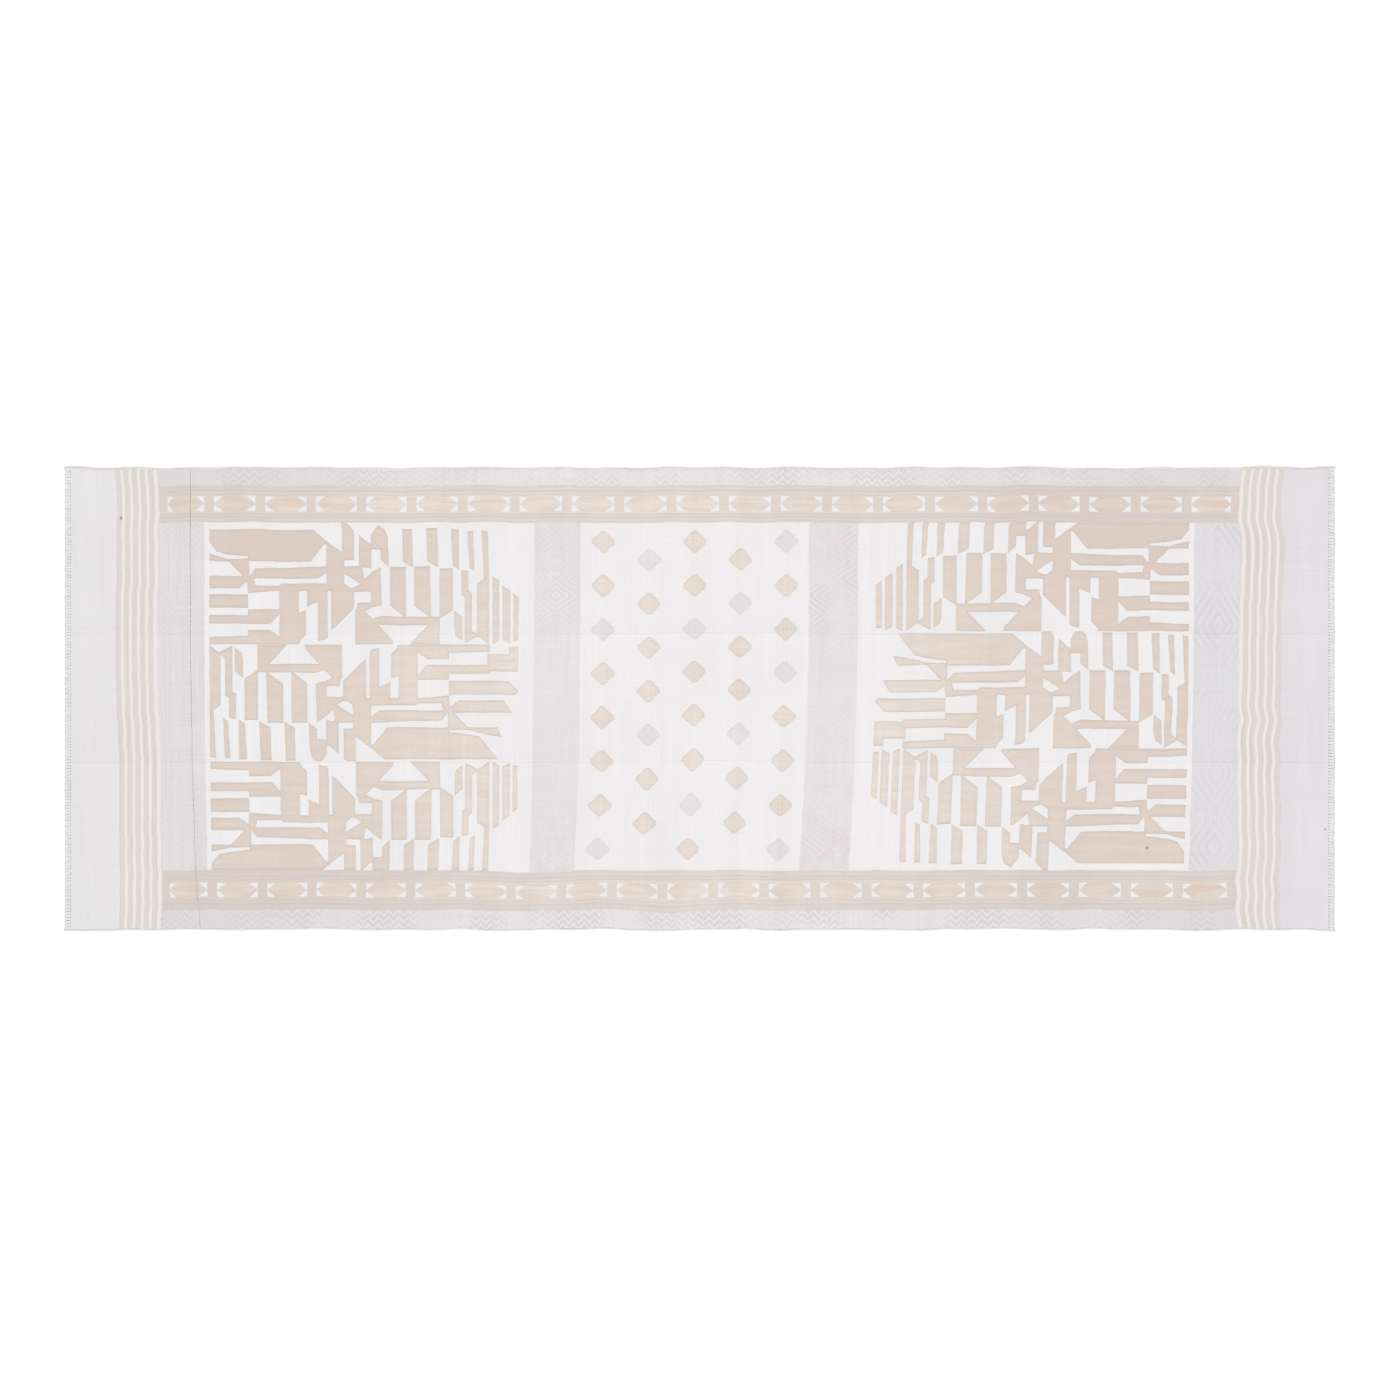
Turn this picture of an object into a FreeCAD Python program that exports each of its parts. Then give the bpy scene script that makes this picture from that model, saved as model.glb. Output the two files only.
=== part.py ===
import FreeCAD, Part
import os
import Sketcher

# A handwoven cotton table runner lying flat, in millimetres.
# +X runs along the length, +Y across towards the back edge, +Z up.
# The ground cloth lies on Z = 0 and every inlay is a thin layer on its top face.

os.makedirs("parts", exist_ok=True)
doc = FreeCAD.newDocument("table_runner")

# Every size that drives the model, with the word each one is called by.
sizeList = [
    ("cloth_length", 1496, "ground cloth along X, without the fringe"),
    ("cloth_width", 550, "whole runner along Y, with its selvedges"),
    ("cloth_thick", 0.4, "ground cloth"),
    ("inlay_thick", 0.2, "inlaid yarn standing on the ground cloth"),
    ("selvedge_width", 2, "bunched warp threads along each long edge"),
    ("selvedge_rise", 0.2, "how far those threads stand above the ground cloth"),
    ("fringe_length", 8, "cut warp ends beyond each short edge"),
    ("fringe_pitch", 3.6, "from one bunch of warp ends to the next"),
    ("fringe_thread", 0.5, "one bunch of warp ends"),
    ("heading_length", 52.5, "plain heading at each short end"),
    ("stripe_count", 5, "stripes inside each heading"),
    ("stripe_width", 6.0, "one stripe along X"),
    ("stripe_pitch", 9.8, "from one stripe to the next"),
    ("cream_gap", 4.4, "bare cloth between the stripes and the borders"),
    ("end_panel_length", 56, "grey panel at each end of the field"),
    ("panel_margin", 6, "bare cloth between end panel and geometric panel"),
    ("panel_gap", 20, "bare cloth between geometric panel and cross band"),
    ("cross_band_length", 58, "grey band on each side of the centre field"),
    ("centre_length", 272, "centre field along X"),
    ("edge_band_back", 19, "grey band inside the back selvedge"),
    ("edge_band_front", 22, "grey band inside the front selvedge"),
    ("border_back", 44, "beige border inside the back edge band"),
    ("border_front", 47, "beige border inside the front edge band"),
    ("border_rim_back", 13, "solid beige on each side of the back windows"),
    ("border_rim_front", 15, "solid beige on each side of the front windows"),
    ("window_count", 21, "windows along each border"),
    ("window_bar", 11.5, "solid beige between two windows"),
    ("medallion_shoulder", 11, "length of a medallion's slanting end"),
    ("row_margin", 5.7, "bare cloth between the back border and the geometric panel"),
    ("diamond_length", 27, "diamond along X"),
    ("diamond_width", 26, "diamond along Y"),
    ("diamond_blunt", 4, "flat tip left on each corner of a diamond"),
    ("diamond_stagger", 21.5, "how far the short columns are set forward"),
    ("diamond_margin_back", 23, "back border to the middle of the first diamond"),
    ("diamond_margin_front", 25, "front border to the middle of the last diamond"),
    ("diamond_columns", 5, "columns of diamonds across the centre field"),
    ("diamond_rows", 8, "diamonds in a long column, one more than in a short one"),
    ("dark_pick_width", 1, "one darker weft thread near the left end"),
    ("dark_pick_inset", 17.3, "outer edge of the geometric panel to that thread"),
    ("row_gap", 0.3, "bare cloth kept along each side of a row of motifs"),
]

sheet = doc.addObject("Spreadsheet::Sheet", "sizes")
for index, (alias, value, meaning) in enumerate(sizeList):
    row = index + 1
    sheet.set("A{}".format(row), alias)
    sheet.set("B{}".format(row), str(value))
    sheet.set("C{}".format(row), meaning)
    sheet.setAlias("B{}".format(row), alias)
doc.recompute()


def size(alias):
    """Value of one cell of the sheet."""
    return float(sheet.get(alias))


def worked(formula):
    """Value of a formula on the sheet."""
    return float(sheet.evalExpression(formula))


# Distances from the middle of the cloth, written as expressions on the sheet.
clothEnd = "sizes.cloth_length / 2"
stripesOuter = "({} - sizes.heading_length)".format(clothEnd)
stripesSpan = "((sizes.stripe_count - 1) * sizes.stripe_pitch + sizes.stripe_width)"
borderEnd = "({} - {} - sizes.cream_gap)".format(stripesOuter, stripesSpan)
endPanelInner = "({} - sizes.end_panel_length)".format(borderEnd)
panelOuter = "({} - sizes.panel_margin)".format(endPanelInner)
bandInner = "(sizes.centre_length / 2)"
clothBack = "(sizes.cloth_width / 2 - sizes.selvedge_width)"
borderOuterBack = "({} - sizes.edge_band_back)".format(clothBack)
borderOuterFront = "({} - sizes.edge_band_front)".format(clothBack)
fieldBack = "({} - sizes.border_back)".format(borderOuterBack)
fieldFront = "({} - sizes.border_front)".format(borderOuterFront)
fieldWidth = "({} + {})".format(fieldBack, fieldFront)
fieldMiddle = "(({} - {}) / 2)".format(fieldBack, fieldFront)
fullWidth = "(2 * {})".format(clothBack)
inlayTop = "(sizes.cloth_thick + sizes.inlay_thick)"


def flatSketch(body, name, corners):
    """Closed outline through the corners, on the body's own XY plane."""
    sketch = body.newObject("Sketcher::SketchObject", name)
    for plane in body.Origin.OriginFeatures:
        if plane.Role == "XY_Plane":
            sketch.AttachmentSupport = (plane, [""])
    sketch.MapMode = "FlatFace"
    count = len(corners)
    for index in range(count):
        start = FreeCAD.Vector(corners[index][0], corners[index][1], 0)
        after = corners[(index + 1) % count]
        end = FreeCAD.Vector(after[0], after[1], 0)
        sketch.addGeometry(Part.LineSegment(start, end), False)
    for index in range(count):
        after = (index + 1) % count
        sketch.addConstraint(Sketcher.Constraint("Coincident", index, 2, after, 1))
    return sketch


def bindLength(sketch, kind, first, firstPoint, second, secondPoint, start, name, formula):
    """Named distance between two sketch points, driven by the sheet."""
    constraint = Sketcher.Constraint(kind, first, firstPoint, second, secondPoint, start)
    number = sketch.addConstraint(constraint)
    sketch.renameConstraint(number, name)
    sketch.setExpression("Constraints." + name, formula)


def centredRectangle(body, name, lengthFormula, widthFormula):
    """Rectangle centred on the body's origin."""
    sketch = flatSketch(body, name, [(-10, -5), (10, -5), (10, 5), (-10, 5)])
    sketch.addConstraint(Sketcher.Constraint("Horizontal", 0))
    sketch.addConstraint(Sketcher.Constraint("Horizontal", 2))
    sketch.addConstraint(Sketcher.Constraint("Vertical", 1))
    sketch.addConstraint(Sketcher.Constraint("Vertical", 3))
    sketch.addConstraint(Sketcher.Constraint("Symmetric", 0, 1, 1, 2, -1, 1))
    bindLength(sketch, "DistanceX", 0, 1, 0, 2, 20, "along", lengthFormula)
    bindLength(sketch, "DistanceY", 1, 1, 1, 2, 10, "across", widthFormula)
    return sketch


def padUp(body, sketch, thickFormula):
    """Pad of a sketch upwards."""
    pad = body.newObject("PartDesign::Pad", body.Name + "_pad")
    pad.Profile = sketch
    pad.setExpression("Length", thickFormula)
    sketch.Visibility = False
    body.Tip = pad
    return pad


def placeBody(body, xFormula, yFormula, zFormula):
    """Puts a body's origin where the formulas say."""
    body.setExpression("Placement.Base.x", xFormula)
    body.setExpression("Placement.Base.y", yFormula)
    body.setExpression("Placement.Base.z", zFormula)


def newBody(name):
    """Empty body, named for its piece."""
    body = doc.addObject("PartDesign::Body", name)
    body.Label = name
    body.AllowCompound = True
    pieces.append(body)
    return body


def flatStrip(name, lengthFormula, widthFormula, thickFormula, xFormula, yFormula, zFormula):
    """Rectangular layer: its three sizes, then where its middle and underside are."""
    body = newBody(name)
    sketch = centredRectangle(body, name + "_outline", lengthFormula, widthFormula)
    padUp(body, sketch, thickFormula)
    placeBody(body, xFormula, yFormula, zFormula)
    return body


def patternAlong(body, feature, countFormula, spanFormula):
    """Repeats a feature along the body's X axis."""
    pattern = body.newObject("PartDesign::LinearPattern", body.Name + "_repeat")
    pattern.Originals = [feature]
    for axis in body.Origin.OriginFeatures:
        if axis.Role == "X_Axis":
            pattern.Direction = (axis, [""])
    pattern.setExpression("Occurrences", countFormula)
    pattern.setExpression("Length", spanFormula)
    body.Tip = pattern
    return pattern


pieces = []
sides = [("left", -1), ("right", 1)]
edges = [("back", 1), ("front", -1)]

# The one continuous sheet that everything else is woven into.
flatStrip("ground_cloth", "sizes.cloth_length", fullWidth, "sizes.cloth_thick", "0", "0", "0")

# Bunched warp threads along both long edges.
for edgeName, sign in edges:
    middle = "{} * (sizes.cloth_width - sizes.selvedge_width) / 2".format(sign)
    flatStrip("selvedge_" + edgeName, "sizes.cloth_length", "sizes.selvedge_width",
              "sizes.cloth_thick + sizes.selvedge_rise", "0", middle, "0")

# Plain heading at each short end, woven with a slightly pinker weft.
for sideName, sign in sides:
    middle = "{} * ({} - sizes.heading_length / 2)".format(sign, clothEnd)
    flatStrip("heading_" + sideName, "sizes.heading_length", fullWidth,
              "sizes.inlay_thick", middle, "0", "sizes.cloth_thick")

# Five beige stripes inside each heading, as separate solids of one piece.
for sideName, sign in sides:
    body = newBody("stripes_" + sideName)
    sketch = centredRectangle(body, body.Name + "_outline", "sizes.stripe_width", fullWidth)
    pad = padUp(body, sketch, "sizes.inlay_thick")
    patternAlong(body, pad, "sizes.stripe_count", "(sizes.stripe_count - 1) * sizes.stripe_pitch")
    if sign < 0:
        first = "-({} - sizes.stripe_width / 2)".format(stripesOuter)
    else:
        first = "{} - {} + sizes.stripe_width / 2".format(stripesOuter, stripesSpan)
    placeBody(body, first, "0", "sizes.cloth_thick")

# Grey figured panel at each end of the field, and grey bands beside the centre.
for sideName, sign in sides:
    middle = "{} * ({} - sizes.end_panel_length / 2)".format(sign, borderEnd)
    flatStrip("end_panel_" + sideName, "sizes.end_panel_length", fieldWidth,
              "sizes.inlay_thick", middle, fieldMiddle, "sizes.cloth_thick")
    middle = "{} * ({} + sizes.cross_band_length / 2)".format(sign, bandInner)
    flatStrip("cross_band_" + sideName, "sizes.cross_band_length", fieldWidth,
              "sizes.inlay_thick", middle, fieldMiddle, "sizes.cloth_thick")

# Grey zigzag band along each long edge.
for edgeName, sign in edges:
    bandSize = "sizes.edge_band_" + edgeName
    middle = "{} * ({} - {} / 2)".format(sign, clothBack, bandSize)
    flatStrip("edge_band_" + edgeName, "2 * " + borderEnd, bandSize,
              "sizes.inlay_thick", "0", middle, "sizes.cloth_thick")

# Beige border with a row of windows, each filled by a six-sided medallion.
windowPitch = "((2 * {} - sizes.window_bar) / sizes.window_count)".format(borderEnd)
windowLength = "({} - sizes.window_bar)".format(windowPitch)
windowSpan = "({} * (sizes.window_count - 1))".format(windowPitch)
for edgeName, sign in edges:
    borderSize = "sizes.border_" + edgeName
    windowWidth = "({} - 2 * sizes.border_rim_{})".format(borderSize, edgeName)
    outer = borderOuterBack
    if sign < 0:
        outer = borderOuterFront
    middle = "{} * ({} - {} / 2)".format(sign, outer, borderSize)

    border = flatStrip("border_" + edgeName, "2 * " + borderEnd, borderSize,
                       "sizes.inlay_thick", "0", middle, "sizes.cloth_thick")
    hole = centredRectangle(border, border.Name + "_window", windowLength, windowWidth)
    hole.setExpression("AttachmentOffset.Base.x", "-{} / 2".format(windowSpan))
    pocket = border.newObject("PartDesign::Pocket", border.Name + "_pocket")
    pocket.Profile = hole
    pocket.Type = "ThroughAll"
    pocket.Midplane = True
    hole.Visibility = False
    patternAlong(border, pocket, "sizes.window_count", windowSpan)

    # A medallion reaches both ends of its window and both long sides of it.
    medallions = newBody("medallions_" + edgeName)
    corners = [(-20, 0), (-10, -8), (10, -8), (20, 0), (10, 8), (-10, 8)]
    sketch = flatSketch(medallions, medallions.Name + "_outline", corners)
    sketch.addConstraint(Sketcher.Constraint("Horizontal", 1))
    sketch.addConstraint(Sketcher.Constraint("Symmetric", 0, 1, 3, 1, -1, 1))
    sketch.addConstraint(Sketcher.Constraint("Symmetric", 1, 1, 4, 1, -1, 1))
    sketch.addConstraint(Sketcher.Constraint("Symmetric", 2, 1, 5, 1, -1, 1))
    sketch.addConstraint(Sketcher.Constraint("PointOnObject", 0, 1, -1))
    bindLength(sketch, "DistanceX", 0, 1, 3, 1, 40, "along", windowLength)
    bindLength(sketch, "DistanceY", 1, 1, 4, 2, 16, "across", windowWidth)
    bindLength(sketch, "DistanceX", 0, 1, 1, 1, 10, "shoulder", "sizes.medallion_shoulder")
    bindLength(sketch, "DistanceX", 2, 1, 3, 1, 10, "far_shoulder", "sizes.medallion_shoulder")
    pad = padUp(medallions, sketch, "sizes.inlay_thick")
    patternAlong(medallions, pad, "sizes.window_count", windowSpan)
    placeBody(medallions, "-{} / 2".format(windowSpan), middle, "sizes.cloth_thick")

# Centre field: staggered columns of diamonds, in long and short columns by turns.
# Each blunt lozenge has a small flat left on all four of its corners.
diamondColumns = int(size("diamond_columns"))
longColumn = int(size("diamond_rows"))
columnPitch = "(sizes.centre_length / sizes.diamond_columns)"
diamondMargins = "(sizes.diamond_margin_back + sizes.diamond_margin_front)"
rowPitch = "(({} - {}) / (sizes.diamond_rows - 1))".format(fieldWidth, diamondMargins)
for column in range(diamondColumns):
    isShort = column % 2 == 1
    rowsHere = longColumn - 1 if isShort else longColumn
    columnMiddle = "{} * {}".format(column - (diamondColumns - 1) / 2, columnPitch)
    for row in range(rowsHere):
        body = newBody("diamond_{}_{}".format(column + 1, row + 1))
        corners = [(-13, -1), (-1, -13), (1, -13), (13, -1), (13, 1), (1, 13), (-1, 13), (-13, 1)]
        sketch = flatSketch(body, body.Name + "_outline", corners)
        sketch.addConstraint(Sketcher.Constraint("Symmetric", 1, 1, 1, 2, -2))
        sketch.addConstraint(Sketcher.Constraint("Symmetric", 3, 1, 3, 2, -1))
        for index in range(4):
            opposite = index + 4
            sketch.addConstraint(Sketcher.Constraint("Symmetric", index, 1, opposite, 1, -1, 1))
        bindLength(sketch, "DistanceX", 7, 2, 3, 1, 26, "along", "sizes.diamond_length")
        bindLength(sketch, "DistanceY", 1, 1, 5, 2, 26, "across", "sizes.diamond_width")
        bindLength(sketch, "DistanceX", 1, 1, 1, 2, 2, "blunt_tip", "sizes.diamond_blunt")
        bindLength(sketch, "DistanceY", 3, 1, 3, 2, 2, "blunt_side", "sizes.diamond_blunt")
        padUp(body, sketch, "sizes.inlay_thick")
        rowMiddle = "{} - sizes.diamond_margin_back - {} * {}".format(fieldBack, row, rowPitch)
        if isShort:
            rowMiddle = rowMiddle + " - sizes.diamond_stagger"
        placeBody(body, columnMiddle, rowMiddle, "sizes.cloth_thick")

# One darker weft thread that crosses the left end, on top of the inlays there.
flatStrip("dark_pick", "sizes.dark_pick_width", fullWidth, "sizes.inlay_thick",
          "-({} + sizes.dark_pick_inset)".format(panelOuter), "0", inlayTop)
doc.recompute()

# Cut warp ends beyond each short edge, one solid for each bunch.
fringeThread = size("fringe_thread")
fringeLength = size("fringe_length")
fringePitch = size("fringe_pitch")
fringeWidth = worked(fullWidth)
fringeCount = int(fringeWidth / fringePitch)
fringeLow = (size("cloth_thick") - fringeThread / 2) / 2
for sideName, sign in sides:
    bunches = []
    for index in range(fringeCount):
        acrossAt = (index - (fringeCount - 1) / 2) * fringePitch - fringeThread / 2
        alongAt = worked(clothEnd)
        if sign < 0:
            alongAt = -alongAt - fringeLength
        corner = FreeCAD.Vector(alongAt, acrossAt, fringeLow)
        bunches.append(Part.makeBox(fringeLength, fringeThread, fringeThread / 2, corner))
    fringe = doc.addObject("Part::Feature", "fringe_" + sideName)
    fringe.Label = fringe.Name
    fringe.Shape = Part.makeCompound(bunches)
    pieces.append(fringe)

# The geometric panels. One motif is drawn in grid steps: x from the outer edge of
# the panel towards the centre, y from the back of its row towards the front.
# A motif is 48 steps deep and runs a little past both ends of the panel.
motifDepth = 48
panelSteps = 129
rowGap = size("row_gap")

# Lengthwise strips and the big block they lie beside.
strips = [
    [(-4, 1), (43, 1), (49, 6), (49, 7), (47.5, 7), (42, 14), (16, 14), (16, 12), (7, 11), (3, 10)],
    [(-6, 10), (0, 11), (8, 13), (16.5, 13), (16.5, 20), (17, 21), (16, 22), (14, 20), (8, 14), (-4, 14)],
    [(-10, 20), (14.5, 20), (16, 22), (12, 25), (-7, 25)],
    [(15.5, 21.5), (19, 17), (49, 16), (49, 18), (45, 21), (19, 21), (17, 23)],
    [(15.5, 21), (17, 21), (19, 22.5), (19, 24), (29, 24), (30, 23), (56, 23), (60, 26), (29, 26), (16, 27)],
    [(-12, 27.5), (16, 27.5), (16, 33), (-9, 33), (-13, 29)],
    [(-1, 36), (16, 36), (16, 33.6), (29.5, 33.6), (29.5, 35), (25.5, 39.5), (-1, 39.5)],
    [(-13, 37), (0, 37), (0, 44), (-9, 44), (-9, 47), (-13, 47)],
    [(-1, 45), (16, 44.5), (16, 42), (25, 42), (29, 45), (29.5, 45.5), (29.5, 48), (-1, 48)],
]

# Crosswise columns under the strips, and the beam beside the big block.
columns = [
    [(29, 25), (37, 25), (37, 35), (40, 34), (40, 44), (38, 46), (37, 48), (29, 48)],
    [(40.5, 25), (46, 25), (46, 30), (40.5, 32.5)],
    [(45, 25), (49, 25), (49, 45), (48, 46), (45, 46.5)],
    [(50.5, 25), (60, 25), (60, 33), (52, 41), (50.5, 42)],
    [(48.5, 5.5), (56, 11), (56, 26), (48.5, 26)],
    [(55, -2), (57, -2), (60, 1.5), (60, 13.5), (55, 13.5)],
    [(55, 16), (63.3, 16), (64.5, 22), (63, 23.5), (56, 19), (55, 19)],
    [(62, 3), (66, 6.5), (67.2, 7), (67.2, 17), (65, 16.5), (62, 16.5)],
    [(67, 8.5), (67, 3), (70, -1), (73, 1), (74, 4), (74.4, 16), (71, 13), (71, 9), (67, 9)],
]

# The tray with its slanting arms, and what joins it to the columns.
tray = [
    [(62.5, 23.5), (64, 21.5), (68, 18), (71, 16), (71.5, 32), (67, 33), (67, 26.5), (60, 26.5),
     (56, 26), (56, 25), (60, 24.8)],
    [(61.5, 31), (67.5, 31), (67.5, 33), (64.5, 34.5), (61, 34.5)],
    [(60.5, 34), (64, 34), (68, 38), (76, 46.5), (76, 48), (60.5, 48)],
    [(67, 38), (71.5, 36.3), (95.5, 36.8), (95.5, 40), (69, 40)],
    [(91, 39.8), (95.5, 37), (95.5, 48), (83, 48)],
]

# Thick bars with a thin bar set between each two of them, then the ragged edge.
thickBars = [
    [(75, 16), (81.5, 16), (81.5, 37), (79, 35), (75, 32)],
    [(85, 16), (91.5, 16), (92, 37), (89, 35), (85, 32)],
    [(95.5, 17), (101, 17), (101, 34), (95.5, 37.5)],
]
thinBars = [
    [(80, 0.5), (84, 0.5), (84.5, 16.5), (80.3, 14)],
    [(90, 0.5), (94.5, 0.5), (95, 16.5), (90.4, 14)],
    [(100.2, 1), (103.4, 1), (103.6, 17.5), (101, 15.5)],
    [(107, 1.5), (109.4, 1.5), (110, 18), (108, 16.5)],
    [(113, 1.5), (115.5, 2), (116, 20.5), (114, 21.5)],
]
raggedEdge = [
    [(104.6, 17.5), (107.4, 18), (107.4, 26), (109, 27), (109, 42.5), (112, 44.5), (110, 45.5),
     (106, 47.5), (106, 28.5), (104.6, 28)],
    [(111, 23), (116, 20), (116, 48), (111, 44.5)],
    [(117.6, 20.5), (120.2, 22), (120.2, 46.5), (117.6, 48)],
    [(121.8, 24), (124.9, 26), (124.9, 47.5), (121.8, 46)],
    [(126.2, 27), (128.6, 29), (128.4, 46.5), (126.2, 46.5)],
    [(101.6, 34.2), (104.9, 36.8), (104.9, 46.5), (102.2, 44.6), (101.6, 41)],
]
motif = strips + columns + tray + thickBars + thinBars + raggedEdge

# Three rows of one depth fill the field. The middle row is the motif turned half
# round. The front row is the motif flipped, and the field ends before that row does.
rowCount = 3
rowShare = 0.3415
turnedAbout = 115.4

edgeToCentre = worked(panelOuter)
panelInnerEnd = worked(bandInner + " + sizes.cross_band_length + sizes.panel_gap")
alongStep = (edgeToCentre - panelInnerEnd) / panelSteps
fieldTop = worked(fieldBack)
fieldBottom = -worked(fieldFront)
rowsTop = fieldTop - size("row_margin")
rowsDepth = rowsTop - fieldBottom


def raisedShape(points):
    """Inlay of the usual thickness inside a closed outline, on the ground cloth."""
    vectors = [FreeCAD.Vector(x, y, size("cloth_thick")) for x, y in points]
    vectors.append(vectors[0])
    face = Part.Face(Part.makePolygon(vectors))
    return face.extrude(FreeCAD.Vector(0, 0, size("inlay_thick")))


def rowSolids(rowNumber, rowTop, rowDepth):
    """Solids of one row of the left panel, cut to the row and to the panel."""
    acrossStep = rowDepth / motifDepth
    shapes = []
    for outline in motif:
        points = []
        for x, y in outline:
            if rowNumber == 1:
                x = turnedAbout - x
            if rowNumber > 0:
                y = motifDepth - y
            points.append((-edgeToCentre + x * alongStep, rowTop - y * acrossStep))
        shapes.append(raisedShape(points))
    merged = shapes[0].multiFuse(shapes[1:]).removeSplitter()
    upper = rowTop - rowGap
    lower = rowTop - rowDepth + rowGap
    if rowNumber == 0:
        upper = fieldTop - rowGap
    if rowNumber == rowCount - 1:
        lower = fieldBottom + rowGap
    window = raisedShape([
        (-edgeToCentre, lower),
        (-panelInnerEnd, lower),
        (-panelInnerEnd, upper),
        (-edgeToCentre, upper),
    ])
    return merged.common(window).Solids


panelSolids = []
rowDepth = rowsDepth * rowShare
for rowNumber in range(rowCount):
    rowTop = rowsTop - rowNumber * rowDepth
    panelSolids = panelSolids + rowSolids(rowNumber, rowTop, rowDepth)

leftPanel = doc.addObject("Part::Feature", "geometric_panel_left")
leftPanel.Label = leftPanel.Name
leftPanel.Shape = Part.makeCompound(panelSolids)
pieces.append(leftPanel)

# The right panel is the left one turned half round about the middle of the field.
fieldCentre = FreeCAD.Vector(0, (fieldTop + fieldBottom) / 2, 0)
turnedSolids = []
for solid in panelSolids:
    turned = solid.copy()
    turned.rotate(fieldCentre, FreeCAD.Vector(0, 0, 1), 180)
    turnedSolids.append(turned)
rightPanel = doc.addObject("Part::Feature", "geometric_panel_right")
rightPanel.Label = rightPanel.Name
rightPanel.Shape = Part.makeCompound(turnedSolids)
pieces.append(rightPanel)

doc.recompute()

# Nothing is written unless every object and every shape is sound.
faults = []
for item in doc.Objects:
    if "Invalid" in item.State or "Error" in item.State:
        faults.append("{} is {}".format(item.Name, item.State))
for piece in pieces:
    if piece.Shape.isNull():
        faults.append(piece.Label + " has no shape")
    elif not piece.Shape.isValid():
        faults.append(piece.Label + " has a faulty shape")
    elif len(piece.Shape.Solids) == 0:
        faults.append(piece.Label + " has no solid")
if faults:
    raise RuntimeError("; ".join(faults))

for piece in pieces:
    piece.Shape.exportStep("parts/{}.step".format(piece.Label))
    print(piece.Label, len(piece.Shape.Solids), "solids", round(piece.Shape.Volume, 1), "mm3")
print("wrote", len(pieces), "pieces")
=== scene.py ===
import math

import bmesh
import bpy
import numpy as np
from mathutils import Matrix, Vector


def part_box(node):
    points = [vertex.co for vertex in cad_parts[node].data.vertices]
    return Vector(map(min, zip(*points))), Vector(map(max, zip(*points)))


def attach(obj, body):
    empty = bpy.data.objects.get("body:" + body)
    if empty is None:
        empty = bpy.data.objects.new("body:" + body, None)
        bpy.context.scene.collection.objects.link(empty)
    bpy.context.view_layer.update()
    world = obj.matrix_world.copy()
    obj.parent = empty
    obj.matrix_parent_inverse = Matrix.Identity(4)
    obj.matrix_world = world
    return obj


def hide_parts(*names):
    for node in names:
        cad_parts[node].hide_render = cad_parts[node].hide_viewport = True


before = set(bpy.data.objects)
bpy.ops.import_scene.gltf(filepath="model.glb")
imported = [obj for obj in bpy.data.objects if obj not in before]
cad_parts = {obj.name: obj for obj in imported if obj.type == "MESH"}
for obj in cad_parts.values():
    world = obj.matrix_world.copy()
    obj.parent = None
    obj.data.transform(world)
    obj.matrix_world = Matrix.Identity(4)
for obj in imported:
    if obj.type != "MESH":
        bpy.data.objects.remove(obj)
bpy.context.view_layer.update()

print("table runner: frame loaded,", len(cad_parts), "nodes")

scene = bpy.context.scene
millimetre = 0.001


lying = {
    "middleLift": 0.45 * millimetre,      # middle of the cloth's thickness above the table
    "groundHalf": 0.20 * millimetre,      # half the thickness of the plain weave
    "inlayHalf": 0.36 * millimetre,       # half the thickness where a second yarn runs through
    "rippleHeight": 0.9 * millimetre,     # broad ripples over the whole cloth
    "rimLift": 1.3 * millimetre,          # how far the long edges curl up here and there
    "endLift": 1.2 * millimetre,          # how far the short edges do
    "puckerHeight": 0.5 * millimetre,     # short puckers along the long edges
    "creaseHeight": 0.7 * millimetre,     # ridge left by each lengthwise fold
    "creaseWidth": 10 * millimetre,
    "creaseBack": 77 * millimetre,        # the two lengthwise folds, measured from the middle
    "creaseFront": -76 * millimetre,
    "edgeWander": 1.3 * millimetre,       # how far the long edges stray from straight
    "warpWave": 0.35 * millimetre,        # how far the warp strays inside the cloth
    "cornerFlare": 1.4 * millimetre,      # how far the four corners are drawn outwards
    "halfWidth": 0.275,
}

# The waves in the cloth, each as (wavelengths in metres, phases in radians).
clothWaves = {
    "broad": ([0.47, 0.29, 0.21], [0.5, 2.4, 4.9]),
    "crossing": ([0.33, 0.19], [1.4, 3.6]),
    "rimCurl": ([0.36, 0.22, 0.15], [0.1, 1.7, 3.9]),
    "pucker": ([0.088, 0.066], [0.9, 2.0]),
    "endCurl": ([0.21, 0.13], [0.6, 2.9]),
    "backEdge": ([0.31, 0.137, 0.071], [0.3, 1.9, 4.4]),
    "frontEdge": ([0.43, 0.161, 0.083], [2.2, 0.4, 3.0]),
    "warp": ([0.093, 0.058], [1.0, 2.7]),
    "rightWeft": ([0.0365, 0.052, 0.101], [0.4, 2.1, 4.0]),
    "leftWeft": ([0.0350, 0.044, 0.118], [1.2, 0.2, 5.1]),
    "bandWeft": ([0.027, 0.041], [0.7, 3.3]),
}

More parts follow.
